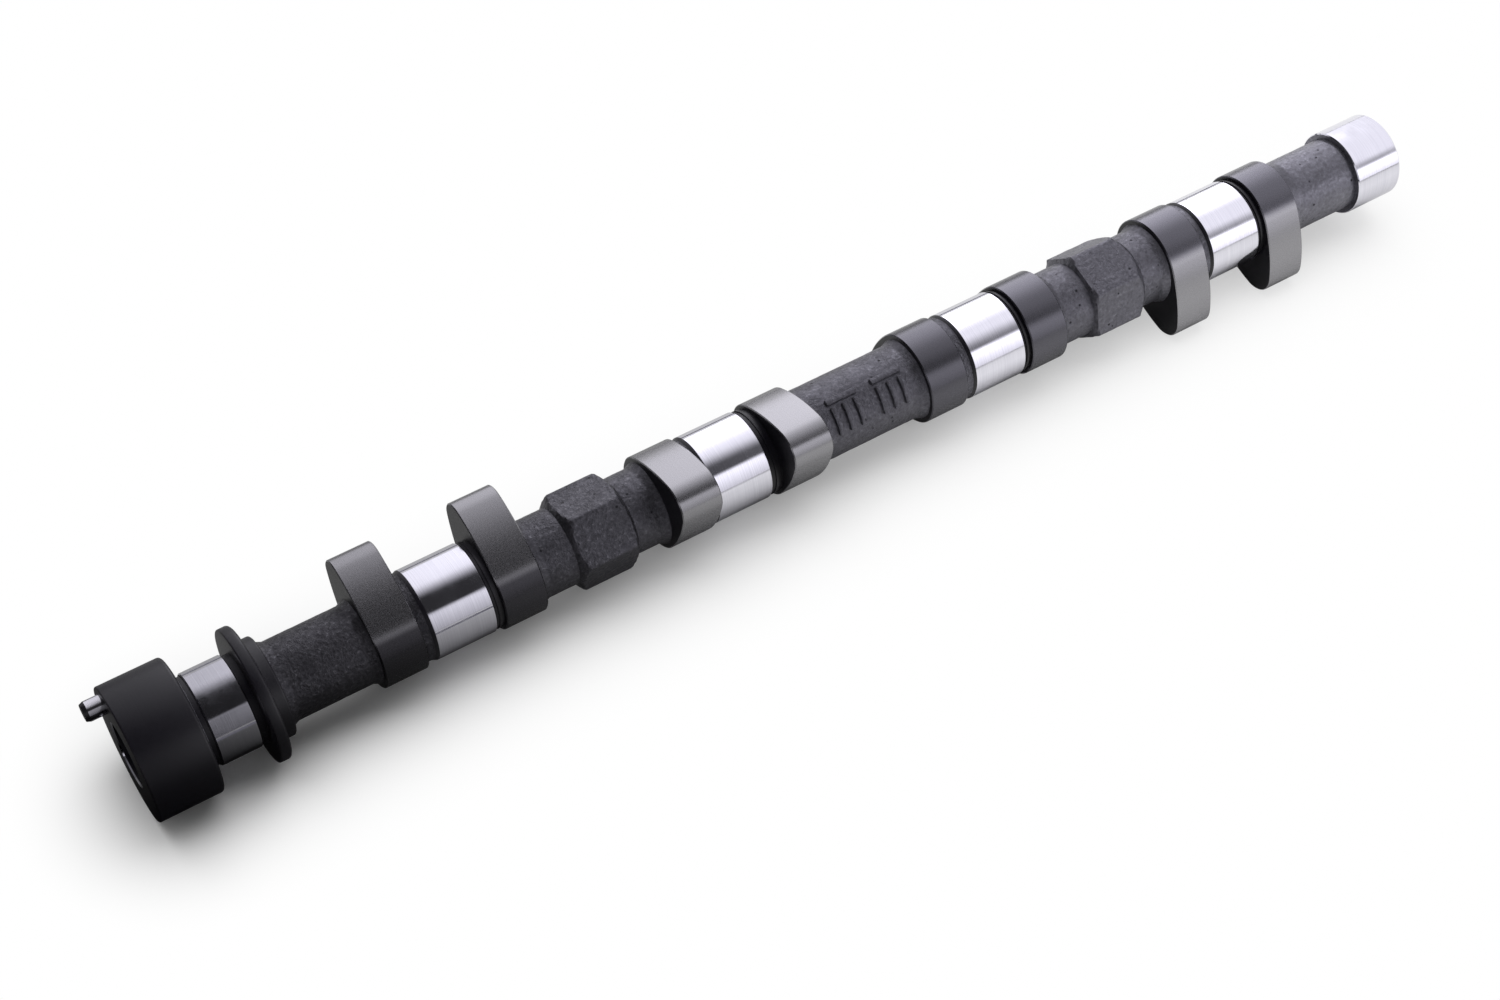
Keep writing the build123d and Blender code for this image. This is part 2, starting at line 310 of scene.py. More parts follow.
# The mould's sand leaves low waves and a coarse grain on every face that no tool has cut.
SKIN_SIZES = {"Wave length": 5.0, "Wave height": 0.16, "Grain size": 1.5, "Grain height": 0.13}
sand_skin, skin_in, skin_out = geometry_tree("sand cast skin", [(name, "Float") for name in SKIN_SIZES])
skin_place = add_node(sand_skin, "GeometryNodeInputPosition")
skin_normal = add_node(sand_skin, "GeometryNodeInputNormal")
how_cast = add_node(sand_skin, "GeometryNodeInputNamedAttribute", {"Name": "cast"}, data_type="FLOAT")
heights = []
for size, height in (("Wave length", "Wave height"), ("Grain size", "Grain height")):
    scale = add_node(sand_skin, "ShaderNodeMath", {0: 1.0, 1: skin_in.outputs[size]}, operation="DIVIDE")
    sand = add_node(sand_skin, "ShaderNodeTexNoise", {
        "Vector": skin_place.outputs[0], "Scale": scale.outputs[0], "Detail": 1.0, "Roughness": 0.5})
    level = add_node(sand_skin, "ShaderNodeMath", {0: sand.outputs["Fac"], 1: 0.5}, operation="SUBTRACT")
    lift = add_node(sand_skin, "ShaderNodeMath", {0: level.outputs[0], 1: skin_in.outputs[height]},
                    operation="MULTIPLY")
    heights.append(lift.outputs[0])
both = add_node(sand_skin, "ShaderNodeMath", {0: heights[0], 1: heights[1]}, operation="ADD")
masked = add_node(sand_skin, "ShaderNodeMath", {0: both.outputs[0], 1: how_cast.outputs["Attribute"]},
                  operation="MULTIPLY")
shift = add_node(sand_skin, "ShaderNodeVectorMath", {0: skin_normal.outputs[0], "Scale": masked.outputs[0]},
                 operation="SCALE")
moved = add_node(sand_skin, "GeometryNodeSetPosition", {
    "Geometry": skin_in.outputs["Geometry"], "Offset": shift.outputs[0]})
sand_skin.links.new(moved.outputs[0], skin_out.inputs[0])


SHARP_FROM = 34.0


def made_plain(piece, tree, values):
    """Runs a node tree on a piece with its named sizes, keeps the mesh and removes the modifier."""
    modifier = piece.modifiers.new(tree.name, "NODES")
    modifier.node_group = tree
    for item in tree.interface.items_tree:
        if item.in_out == "INPUT" and item.name in values:
            modifier[item.identifier] = values[item.name]
    bpy.context.view_layer.update()
    finished = piece.evaluated_get(bpy.context.evaluated_depsgraph_get())
    mesh = bpy.data.meshes.new_from_object(finished)
    piece.modifiers.clear()
    piece.data = mesh
    mesh.shade_smooth()
    mesh.set_sharp_from_angle(angle=math.radians(SHARP_FROM))
    return mesh


made_plain(casting, sand_skin, {name: size * MM for name, size in SKIN_SIZES.items()})


def linear(code):
    """sRGB hex colour as the linear values that a shader takes."""
    parts = [int(code[start:start + 2], 16) / 255 for start in (1, 3, 5)]
    return [p / 12.92 if p <= 0.04045 else ((p + 0.055) / 1.055) ** 2.4 for p in parts] + [1.0]


def new_finish(name):
    """New material with no nodes yet, and its tree."""
    made = bpy.data.materials.new(name)
    made.use_nodes = True
    made.node_tree.nodes.clear()
    return made, made.node_tree


# Sand-cast iron, phosphated: a dull charcoal crust with a leathery grain, on which shade toward the nose and
# light toward the tail are painted, darker to paler grey, and whose highest grains are rubbed to grey metal.
cast_iron, tree = new_finish("sand cast iron, phosphated")
where = add_node(tree, "ShaderNodeTexCoord")
patches = add_node(tree, "ShaderNodeTexNoise", {
    "Vector": where.outputs["Object"], "Scale": 1 / (7.0 * MM), "Detail": 3.0})
grain = add_node(tree, "ShaderNodeTexNoise", {
    "Vector": where.outputs["Object"], "Scale": 1 / (1.1 * MM), "Detail": 4.0, "Roughness": 0.65})
worn = add_node(tree, "ShaderNodeMath", {0: patches.outputs["Fac"], 1: 0.35, 2: -0.17},
                operation="MULTIPLY_ADD")
tone = add_node(tree, "ShaderNodeMath", {0: grain.outputs["Fac"], 1: worn.outputs[0]}, operation="ADD")
crust_part = add_node(tree, "ShaderNodeMapRange", {
    "Value": tone.outputs[0], "From Min": 0.32, "From Max": 0.68})
along = add_node(tree, "ShaderNodeSeparateXYZ", {0: where.outputs["Object"]})
# Painted shade and light: the crust is coloured darker toward the nose and paler toward the tail, as the
# light falls there.
painted_light_to_tail = add_node(tree, "ShaderNodeMapRange", {
    "Value": along.outputs["X"], "From Min": -0.17, "From Max": 0.2})
pit_colour = add_node(tree, "ShaderNodeMix", {
    "Factor": painted_light_to_tail.outputs[0], 6: linear("#302f33"), 7: linear("#6b6a71")}, data_type="RGBA")
crest_colour = add_node(tree, "ShaderNodeMix", {
    "Factor": painted_light_to_tail.outputs[0], 6: linear("#48474b"), 7: linear("#82818a")}, data_type="RGBA")
crust = add_node(tree, "ShaderNodeMix", {
    "Factor": crust_part.outputs[0], 6: pit_colour.outputs[2], 7: crest_colour.outputs[2]}, data_type="RGBA")
rubbed = add_node(tree, "ShaderNodeMapRange", {
    "Value": grain.outputs["Fac"], "From Min": 0.6, "From Max": 0.85, "To Max": 0.45})
crust_colour = add_node(tree, "ShaderNodeMix", {
    "Factor": rubbed.outputs[0], 6: crust.outputs[2], 7: linear("#a4a3aa")}, data_type="RGBA")
# Painted shade: the hollow of each pit is coloured dark, besides being sunk by the bump.
pits = add_node(tree, "ShaderNodeTexVoronoi", {
    "Vector": where.outputs["Object"], "Scale": 1 / (4.2 * MM), "Randomness": 1.0}, feature="F1")
pit_depth = add_node(tree, "ShaderNodeMapRange", {
    "Value": pits.outputs["Distance"], "From Min": 0.06, "From Max": 0.13})
pitted_colour = add_node(tree, "ShaderNodeMix", {
    "Factor": pit_depth.outputs[0], 6: linear("#2b2a2e"), 7: crust_colour.outputs[2]}, data_type="RGBA")
crust_rough = add_node(tree, "ShaderNodeMapRange", {
    "Value": grain.outputs["Fac"], "From Min": 0.3, "From Max": 0.7, "To Min": 0.46, "To Max": 0.31})
leather = add_node(tree, "ShaderNodeMapRange", {
    "Value": patches.outputs["Fac"], "From Min": 0.38, "From Max": 0.62, "To Min": 0.35, "To Max": 1.0})
smoother = add_node(tree, "ShaderNodeMapRange", {
    "Value": along.outputs["X"], "From Min": 0.1, "From Max": 0.19, "To Min": 1.0, "To Max": 0.3})
roughest = add_node(tree, "ShaderNodeMath", {0: leather.outputs[0], 1: smoother.outputs[0]},
                    operation="MULTIPLY")
grain_bump = add_node(tree, "ShaderNodeBump", {
    "Height": grain.outputs["Fac"], "Strength": roughest.outputs[0], "Distance": 0.6 * MM})
pit_bump = add_node(tree, "ShaderNodeBump", {
    "Height": pit_depth.outputs[0], "Strength": 0.5, "Distance": 0.15 * MM, "Normal": grain_bump.outputs[0]})
crust_shader = add_node(tree, "ShaderNodeBsdfPrincipled", {
    "Base Color": pitted_colour.outputs[2], "Roughness": crust_rough.outputs[0], "Metallic": 0.85,
    "Normal": pit_bump.outputs[0]})
add_node(tree, "ShaderNodeOutputMaterial", {"Surface": crust_shader.outputs[0]})

# Turned iron, phosphated: an even, nearly black matt coat over fine turning marks that run round. The
# marks and the grains of coat are a few times coarser than real ones, to show.
black_phosphate, tree = new_finish("turned iron, black phosphate")
where = add_node(tree, "ShaderNodeTexCoord")
stretched = add_node(tree, "ShaderNodeMapping", {
    "Vector": where.outputs["Object"], "Scale": (1 / (0.35 * MM), 12.0, 12.0)})
turning = add_node(tree, "ShaderNodeTexNoise", {"Vector": stretched.outputs[0], "Scale": 1.0, "Detail": 2.0})
salt = add_node(tree, "ShaderNodeTexNoise", {
    "Vector": where.outputs["Object"], "Scale": 1 / (0.5 * MM), "Detail": 3.0, "Roughness": 0.7})
coat = add_node(tree, "ShaderNodeMix", {
    "Factor": salt.outputs["Fac"], 6: linear("#09080d"), 7: linear("#121017")}, data_type="RGBA")
coat_rough = add_node(tree, "ShaderNodeMapRange", {
    "Value": salt.outputs["Fac"], "From Min": 0.3, "From Max": 0.7, "To Min": 0.34, "To Max": 0.46})
salt_bump = add_node(tree, "ShaderNodeBump", {
    "Height": salt.outputs["Fac"], "Strength": 0.25, "Distance": 0.05 * MM})
turning_bump = add_node(tree, "ShaderNodeBump", {
    "Height": turning.outputs["Fac"], "Strength": 0.3, "Distance": 0.03 * MM, "Normal": salt_bump.outputs[0]})
coat_shader = add_node(tree, "ShaderNodeBsdfPrincipled", {
    "Base Color": coat.outputs[2], "Roughness": coat_rough.outputs[0], "Specular IOR Level": 0.42,
    "Normal": turning_bump.outputs[0]})
add_node(tree, "ShaderNodeOutputMaterial", {"Surface": coat_shader.outputs[0]})

# Ground journal steel: nearly a mirror, with hair-fine grinding lines that run round it.
ground_steel, tree = new_finish("ground and polished journal")
where = add_node(tree, "ShaderNodeTexCoord")
# The real lines are a few hundredths of a millimetre apart: these are ten times coarser, to show.
hair_place = add_node(tree, "ShaderNodeMapping", {
    "Vector": where.outputs["Object"], "Scale": (1 / (0.3 * MM), 25.0, 25.0)})
hairs = add_node(tree, "ShaderNodeTexNoise", {"Vector": hair_place.outputs[0], "Scale": 1.0, "Detail": 4.0})
cloud = add_node(tree, "ShaderNodeTexNoise", {
    "Vector": where.outputs["Object"], "Scale": 1 / (6.0 * MM), "Detail": 2.0})
hair_tint = add_node(tree, "ShaderNodeMix", {
    "Factor": hairs.outputs["Fac"], 6: linear("#d3d2dc"), 7: linear("#f4f3fa")}, data_type="RGBA")
hair_rough = add_node(tree, "ShaderNodeMapRange", {
    "Value": cloud.outputs["Fac"], "From Min": 0.3, "From Max": 0.7, "To Min": 0.06, "To Max": 0.12})
hair_bump = add_node(tree, "ShaderNodeBump", {
    "Height": hairs.outputs["Fac"], "Strength": 0.08, "Distance": 0.02 * MM})
ground_shader = add_node(tree, "ShaderNodeBsdfPrincipled", {
    "Base Color": hair_tint.outputs[2], "Metallic": 1.0, "Roughness": hair_rough.outputs[0],
    "Normal": hair_bump.outputs[0]})
add_node(tree, "ShaderNodeOutputMaterial", {"Surface": ground_shader.outputs[0]})

for finish in (cast_iron, black_phosphate, ground_steel):
    casting.data.materials.append(finish)
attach(casting, "root")
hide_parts("camshaft")

# The cam lobes. Eight of them are cast with the shaft, two to a cylinder. Their sides are faced in the
# lathe and phosphated black. Their rims are chilled hard, ground and phosphated, and then the flanks
# and noses are ground again to a satin grey.
BASE_RADIUS = 14.72
LIFT = 10.3
NOSE_ARC = 7.2
FLANK_START = 78.0
LOBE_EDGE = 0.3
LOBE_CORE = 12.6
SIDE, RIM = 0, 1

# Each flank is an arc that runs smoothly from the base circle into the nose arc, at the nose joint.
flank_turn = math.radians(FLANK_START)
nose_distance = BASE_RADIUS + LIFT - NOSE_ARC
shrink = BASE_RADIUS - NOSE_ARC
flank_offset = (nose_distance**2 - shrink**2) / (2 * (shrink - nose_distance * math.cos(flank_turn)))
flank_radius = BASE_RADIUS + flank_offset
flank_centre = Vector((math.cos(flank_turn), math.sin(flank_turn))) * -flank_offset
nose_centre = Vector((nose_distance, 0.0))
nose_joint = nose_centre + (nose_centre - flank_centre).normalized() * NOSE_ARC
nose_end = math.degrees(math.atan2(nose_joint.y, nose_joint.x))


def arc_reach(angle, centre, radius):
    """How far from the shaft's axis a circle reaches at an angle, its centre off the axis."""
    along = Vector((math.cos(math.radians(angle)), math.sin(math.radians(angle))))
    near = centre.dot(along)
    return near + math.sqrt(radius**2 - (centre - along * near).length_squared)


def lobe_reach(angle):
    """Radius of the cam's rim at an angle from its nose."""
    off = abs((angle + 180.0) % 360.0 - 180.0)
    if off >= FLANK_START:
        return BASE_RADIUS
    if off >= nose_end:
        return arc_reach(off, flank_centre, flank_radius)
    return arc_reach(off, nose_centre, NOSE_ARC)


def lobe_point(station, angle, radius):
    """Point of a lobe that stands alone at the origin, nose up, in metres."""
    turn = math.radians(angle)
    return Vector((station, -math.sin(turn) * radius, math.cos(turn) * radius)) * MM


def side_reach(angle):
    """Radius at an angle from the cam's nose where its side meets the small bevel to the rim."""
    return lobe_reach(angle) - LOBE_EDGE


half = LOBE_WIDTH / 2
lobe_rings = [
    (-half, LOBE_CORE, 0.0, SIDE),
    (-half, side_reach, 0.0, RIM),
    (-half + LOBE_EDGE, lobe_reach, 0.0, RIM),
    (half - LOBE_EDGE, lobe_reach, 0.0, RIM),
    (half, side_reach, 0.0, SIDE),
    (half, LOBE_CORE, 0.0, SIDE),
]
lobe = put("one_lobe", ring_mesh("one_lobe", lobe_rings, lobe_point, loop=True))

# The flanks and the nose are ground clean, from a little before each flank starts.
CLEAN_FROM, CLEAN_TO = 94.0, 80.0
clean = lobe.data.attributes.new("clean", "FLOAT", "POINT")
for vert in lobe.data.vertices:
    off = abs(math.degrees(math.atan2(-vert.co.y, vert.co.z)))
    clean.data[vert.index].value = min(1.0, max(0.0, (CLEAN_FROM - off) / (CLEAN_FROM - CLEAN_TO)))
rim = lobe.data.attributes.new("rim", "BOOLEAN", "FACE")
for face in lobe.data.polygons:
    rim.data[face.index].value = face.material_index == RIM

seats = bmesh.new()
turn_layer = seats.verts.layers.float.new("turn")
for middle, offsets, turn in zip(BEARING_MIDDLES, LOBE_OFFSETS, LOBE_TURNS):
    for station in (middle - offsets[0], middle + offsets[1]):
        seat = seats.verts.new(place(station, 0, 0))
        seat[turn_layer] = math.radians(turn)
cam_lobes = put("cam_lobes", mesh_of(seats, "cam_lobes"))

# Ground and phosphated cam rim: dark and finely speckled on the heel, where the coat is whole and is painted
# darker toward the shaft's nose as shade, and clean satin grey metal on the flanks and the cam's nose. The
# specks and grinding lines are several times coarser than real ones, to show.
cam_rim, tree = new_finish("ground cam rim, phosphated")
where = add_node(tree, "ShaderNodeTexCoord")
how_clean = add_node(tree, "ShaderNodeAttribute", attribute_name="clean", attribute_type="GEOMETRY")
cleaned = add_node(tree, "ShaderNodeMapRange", {"Value": how_clean.outputs["Fac"]},
                   interpolation_type="SMOOTHSTEP")
speck = add_node(tree, "ShaderNodeTexNoise", {
    "Vector": where.outputs["Object"], "Scale": 1 / (0.45 * MM), "Detail": 3.0, "Roughness": 0.7})
heel_along = add_node(tree, "ShaderNodeSeparateXYZ", {0: where.outputs["Object"]})
# Painted shade and light: the heel is coloured darker toward the shaft's nose and paler toward the tail.
heel_painted_light_to_tail = add_node(tree, "ShaderNodeMapRange", {
    "Value": heel_along.outputs["X"], "From Min": -0.15, "From Max": 0.18})
heel_low = add_node(tree, "ShaderNodeMix", {
    "Factor": heel_painted_light_to_tail.outputs[0], 6: linear("#363538"), 7: linear("#5b5a60")}, data_type="RGBA")
heel_high = add_node(tree, "ShaderNodeMix", {
    "Factor": heel_painted_light_to_tail.outputs[0], 6: linear("#49484b"), 7: linear("#737279")}, data_type="RGBA")
heel = add_node(tree, "ShaderNodeMix", {
    "Factor": speck.outputs["Fac"], 6: heel_low.outputs[2], 7: heel_high.outputs[2]}, data_type="RGBA")
satin = add_node(tree, "ShaderNodeMix", {
    "Factor": speck.outputs["Fac"], 6: linear("#929194"), 7: linear("#9d9c9f")}, data_type="RGBA")
rim_colour = add_node(tree, "ShaderNodeMix", {
    "Factor": cleaned.outputs[0], 6: heel.outputs[2], 7: satin.outputs[2]}, data_type="RGBA")
rim_lines = add_node(tree, "ShaderNodeMapping", {
    "Vector": where.outputs["Object"], "Scale": (1 / (0.5 * MM), 20.0, 20.0)})
lines = add_node(tree, "ShaderNodeTexNoise", {"Vector": rim_lines.outputs[0], "Scale": 1.0, "Detail": 3.0})
rim_rough = add_node(tree, "ShaderNodeMapRange", {
    "Value": speck.outputs["Fac"], "From Min": 0.3, "From Max": 0.7, "To Min": 0.22, "To Max": 0.3})
line_bump = add_node(tree, "ShaderNodeBump", {
    "Height": lines.outputs["Fac"], "Strength": 0.25, "Distance": 0.02 * MM})
speckled = add_node(tree, "ShaderNodeMapRange", {"Value": cleaned.outputs[0], "To Min": 0.26, "To Max": 0.05})
speck_bump = add_node(tree, "ShaderNodeBump", {
    "Height": speck.outputs["Fac"], "Strength": speckled.outputs[0], "Distance": 0.04 * MM,
    "Normal": line_bump.outputs[0]})
rim_shader = add_node(tree, "ShaderNodeBsdfPrincipled", {
    "Base Color": rim_colour.outputs[2], "Metallic": 1.0, "Roughness": rim_rough.outputs[0],
    "Normal": speck_bump.outputs[0]})
add_node(tree, "ShaderNodeOutputMaterial", {"Surface": rim_shader.outputs[0]})


def seats_and_turns(tree, seats):
    """Points of a piece's seats in a tree, and the turn that is stored with each."""
    turn = add_node(tree, "GeometryNodeInputNamedAttribute", {"Name": "turn"}, data_type="FLOAT")
    about_x = add_node(tree, "ShaderNodeCombineXYZ", {"X": turn.outputs["Attribute"]})
    points = add_node(tree, "GeometryNodeMeshToPoints", {"Mesh": seats.outputs["Geometry"]})
    return points.outputs[0], about_x.outputs[0]


# One lobe on every seat, turned to its cylinder's firing order.
lobe_row, row_in, row_out = geometry_tree("lobes on their seats", [
    ("Lobe", "Object"), ("Side finish", "Material"), ("Rim finish", "Material")])
one = add_node(lobe_row, "GeometryNodeObjectInfo", {"Object": row_in.outputs["Lobe"]})
points, turns = seats_and_turns(lobe_row, row_in)
set_out = add_node(lobe_row, "GeometryNodeInstanceOnPoints", {
    "Points": points, "Instance": one.outputs["Geometry"], "Rotation": turns})
real = add_node(lobe_row, "GeometryNodeRealizeInstances", {"Geometry": set_out.outputs[0]})
side_set = add_node(lobe_row, "GeometryNodeSetMaterial", {
    "Geometry": real.outputs[0], "Material": row_in.outputs["Side finish"]})
is_rim = add_node(lobe_row, "GeometryNodeInputNamedAttribute", {"Name": "rim"}, data_type="BOOLEAN")
rim_set = add_node(lobe_row, "GeometryNodeSetMaterial", {
    "Geometry": side_set.outputs[0], "Selection": is_rim.outputs["Attribute"],
    "Material": row_in.outputs["Rim finish"]})
lobe_row.links.new(rim_set.outputs[0], row_out.inputs[0])
made_plain(cam_lobes, lobe_row, {"Lobe": lobe, "Side finish": black_phosphate, "Rim finish": cam_rim})
bpy.data.objects.remove(lobe)
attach(cam_lobes, "root")
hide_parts("camshaft")

# The foundry marks. The mould leaves two plain marks on the bare shaft in the middle, each a bar along
# the shaft over three ribs that run round it, in low relief and of the same iron.
MARK_STATIONS = (229.0, 245.0)
BAR_TURN = 17.0
BAR_SIZE = (10.6, 1.9)
RIB_TURN = 47.0
RIB_SIZE = (8.8, 1.8)
RIB_PITCH = 4.0
MARK_END = 0.25
MARK_HALF_STEPS = 6
MARK_PROFILE = (
    (-1.0, -0.4), (-1.0, 0.5), (-0.8, 0.78), (-0.4, 0.88), (0.4, 0.88), (0.8, 0.78), (1.0, 0.5), (1.0, -0.4))


def raised_mark(name, length, width, round_shaft):
    """A stroke of relief along the shaft or round it, built about the axis at the origin, on its top."""
    shape = bmesh.new()
    inner = length / 2 - MARK_END
    steps = [inner * (step / MARK_HALF_STEPS - 1) for step in range(2 * MARK_HALF_STEPS + 1)]
    slices = []
    for along in [-length / 2] + steps + [length / 2]:
        soft = MARK_END if abs(along) > inner + MARK_END / 2 else 0.0
        slice_verts = []
        for side, height in MARK_PROFILE:
            off = side * (width / 2 - soft)
            x, y = (off, along) if round_shaft else (along, off)
            radius = CAST_RADIUS + (height - soft if height > 0 else height)
            slice_verts.append(shape.verts.new(lobe_point(x, math.degrees(y / CAST_RADIUS), radius)))
        slices.append(slice_verts)
    count = len(MARK_PROFILE)
    for near, far in zip(slices, slices[1:]):
        for number in range(count):
            other = (number + 1) % count
            shape.faces.new((near[number], near[other], far[other], far[number]))
    shape.faces.new(reversed(slices[0]))
    shape.faces.new(slices[-1])
    bmesh.ops.recalc_face_normals(shape, faces=shape.faces)
    return put(name, mesh_of(shape, name))


one_rib = raised_mark("one_rib", *RIB_SIZE, round_shaft=True)
one_bar = raised_mark("one_bar", *BAR_SIZE, round_shaft=False)
mark_seats = bmesh.new()
turn_layer = mark_seats.verts.layers.float.new("turn")
bar_layer = mark_seats.verts.layers.int.new("bar")
for station in MARK_STATIONS:
    wanted = [(station, BAR_TURN, 1)] + [(station + RIB_PITCH * step, RIB_TURN, 0) for step in (-1, 0, 1)]
    for mark_station, angle, bar in wanted:
        seat = mark_seats.verts.new(place(mark_station, 0, 0))
        seat[turn_layer] = math.radians(angle)
        seat[bar_layer] = bar
foundry_marks = put("foundry_marks", mesh_of(mark_seats, "foundry_marks"))

mark_row, mark_in, mark_out = geometry_tree("marks on the skin", [
    ("Rib", "Object"), ("Bar", "Object"), ("Finish", "Material")])
rib = add_node(mark_row, "GeometryNodeObjectInfo", {"Object": mark_in.outputs["Rib"]})
bar = add_node(mark_row, "GeometryNodeObjectInfo", {"Object": mark_in.outputs["Bar"]})
is_bar = add_node(mark_row, "GeometryNodeInputNamedAttribute", {"Name": "bar"}, data_type="INT")
points, turns = seats_and_turns(mark_row, mark_in)
ribs_set = add_node(mark_row, "GeometryNodeInstanceOnPoints", {
    "Points": points, "Instance": rib.outputs["Geometry"], "Rotation": turns})
not_bar = add_node(mark_row, "FunctionNodeCompare", {2: is_bar.outputs["Attribute"], 3: 0},
                   data_type="INT", operation="EQUAL")
mark_row.links.new(not_bar.outputs[0], ribs_set.inputs["Selection"])
bars_set = add_node(mark_row, "GeometryNodeInstanceOnPoints", {
    "Points": points, "Instance": bar.outputs["Geometry"], "Rotation": turns,
    "Selection": is_bar.outputs["Attribute"]})
joined = add_node(mark_row, "GeometryNodeJoinGeometry")
mark_row.links.new(ribs_set.outputs[0], joined.inputs[0])
mark_row.links.new(bars_set.outputs[0], joined.inputs[0])
real = add_node(mark_row, "GeometryNodeRealizeInstances", {"Geometry": joined.outputs[0]})
mark_set = add_node(mark_row, "GeometryNodeSetMaterial", {
    "Geometry": real.outputs[0], "Material": mark_in.outputs["Finish"]})
mark_row.links.new(mark_set.outputs[0], mark_out.inputs[0])
made_plain(foundry_marks, mark_row, {"Rib": one_rib, "Bar": one_bar, "Finish": cast_iron})
bpy.data.objects.remove(one_rib)
bpy.data.objects.remove(one_bar)
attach(foundry_marks, "root")
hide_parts("camshaft")

# The dowel pin. A hardened steel pin, ground bright, is pressed into the nose face and times the
# sprocket to the shaft. Its tapered tip, on which the sprocket slides, is left black from hardening.
PIN_RADIUS = 3.0
PIN_SEATED = 9.0
PIN_CIRCLE = 15.5
PIN_TURN = -45.0
PIN_TAPER_LENGTH = 1.25
PIN_TAPER_DEPTH = 0.45
PIN_SHARP_FROM = 15.0
# The rounded edge of the tip: how far behind its face, and how far outside the tip's own radius.
TIP_EDGE = ((0.0, -0.12), (0.04, -0.03), (0.12, 0.02))
BRIGHT, BLACK = 0, 1
pin_centre = place(0, PIN_TURN, PIN_CIRCLE)


def pin_point(station, angle, radius):
    """Point of the pin in the row frame, in metres."""
    return pin_centre + lobe_point(station, angle, radius)


tip_radius = PIN_RADIUS - PIN_TAPER_DEPTH
pin_rings = [(-PIN_PROUD, 0.0, 0.0, BLACK)]
for behind_face, outside in TIP_EDGE:
    pin_rings.append((-PIN_PROUD + behind_face, tip_radius + outside, 0.0, BLACK))
for station, radius in (
    (-PIN_PROUD + PIN_TAPER_LENGTH, PIN_RADIUS),
    (PIN_SEATED, PIN_RADIUS),
    (PIN_SEATED, 0.0),
):
    pin_rings.append((station, radius, 0.0, BRIGHT))
dowel_mesh = ring_mesh("dowel", pin_rings, pin_point)
dowel_mesh.set_sharp_from_angle(angle=math.radians(PIN_SHARP_FROM))
dowel = put("dowel", dowel_mesh)

# Hardened pin steel: bright and smooth, with fine lengthwise scratches from pressing and handling. They
# are several times coarser than real ones, to show.
pin_steel, tree = new_finish("hardened and ground pin steel")
where = add_node(tree, "ShaderNodeTexCoord")
scratch_place = add_node(tree, "ShaderNodeMapping", {
    "Vector": where.outputs["Object"], "Scale": (60.0, 1 / (0.4 * MM), 1 / (0.4 * MM))})
scratches = add_node(tree, "ShaderNodeTexNoise", {
    "Vector": scratch_place.outputs[0], "Scale": 1.0, "Detail": 3.0})
pin_tint = add_node(tree, "ShaderNodeMix", {
    "Factor": scratches.outputs["Fac"], 6: linear("#dddce2"), 7: linear("#f6f5fa")}, data_type="RGBA")
scratch_bump = add_node(tree, "ShaderNodeBump", {
    "Height": scratches.outputs["Fac"], "Strength": 0.15, "Distance": 0.03 * MM})
pin_shader = add_node(tree, "ShaderNodeBsdfPrincipled", {
    "Base Color": pin_tint.outputs[2], "Metallic": 1.0, "Roughness": 0.1, "Normal": scratch_bump.outputs[0]})
add_node(tree, "ShaderNodeOutputMaterial", {"Surface": pin_shader.outputs[0]})

# Hardening scale: a thin black oxide with a dull shine, a little cloudy where it was handled.
pin_scale, tree = new_finish("hardened pin steel, black scale")
where = add_node(tree, "ShaderNodeTexCoord")
clouds = add_node(tree, "ShaderNodeTexNoise", {
    "Vector": where.outputs["Object"], "Scale": 1 / (0.8 * MM), "Detail": 3.0})
scale_tint = add_node(tree, "ShaderNodeMix", {
    "Factor": clouds.outputs["Fac"], 6: linear("#0b0a0d"), 7: linear("#1a191d")}, data_type="RGBA")
scale_rough = add_node(tree, "ShaderNodeMapRange", {
    "Value": clouds.outputs["Fac"], "From Min": 0.3, "From Max": 0.7, "To Min": 0.32, "To Max": 0.44})
scale_shader = add_node(tree, "ShaderNodeBsdfPrincipled", {
    "Base Color": scale_tint.outputs[2], "Roughness": scale_rough.outputs[0]})
add_node(tree, "ShaderNodeOutputMaterial", {"Surface": scale_shader.outputs[0]})
for finish in (pin_steel, pin_scale):
    dowel.data.materials.append(finish)
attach(dowel, "root")
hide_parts("dowel_pin")

# The studio. The shaft lies on a white sweep under one broad soft lamp overhead, in a white room. A
# dark gap between the rear and the front lights shows in the bright metal, and narrows to the tail.
FLOOR_REACH = 6.0


def sheet(name, low, high, height):
    """Flat rectangle from one corner to the other, in metres."""
    mesh = bpy.data.meshes.new(name)
    corners = [(low[0], low[1]), (high[0], low[1]), (high[0], high[1]), (low[0], high[1])]
    mesh.from_pydata([(x, y, height) for x, y in corners], [], [(0, 1, 2, 3)])
    made = put(name, mesh)
    return made


floor = sheet("floor", (-FLOOR_REACH, -FLOOR_REACH), (FLOOR_REACH, FLOOR_REACH), 0.0)
sweep, tree = new_finish("white paper sweep")
rays = add_node(tree, "ShaderNodeLightPath")
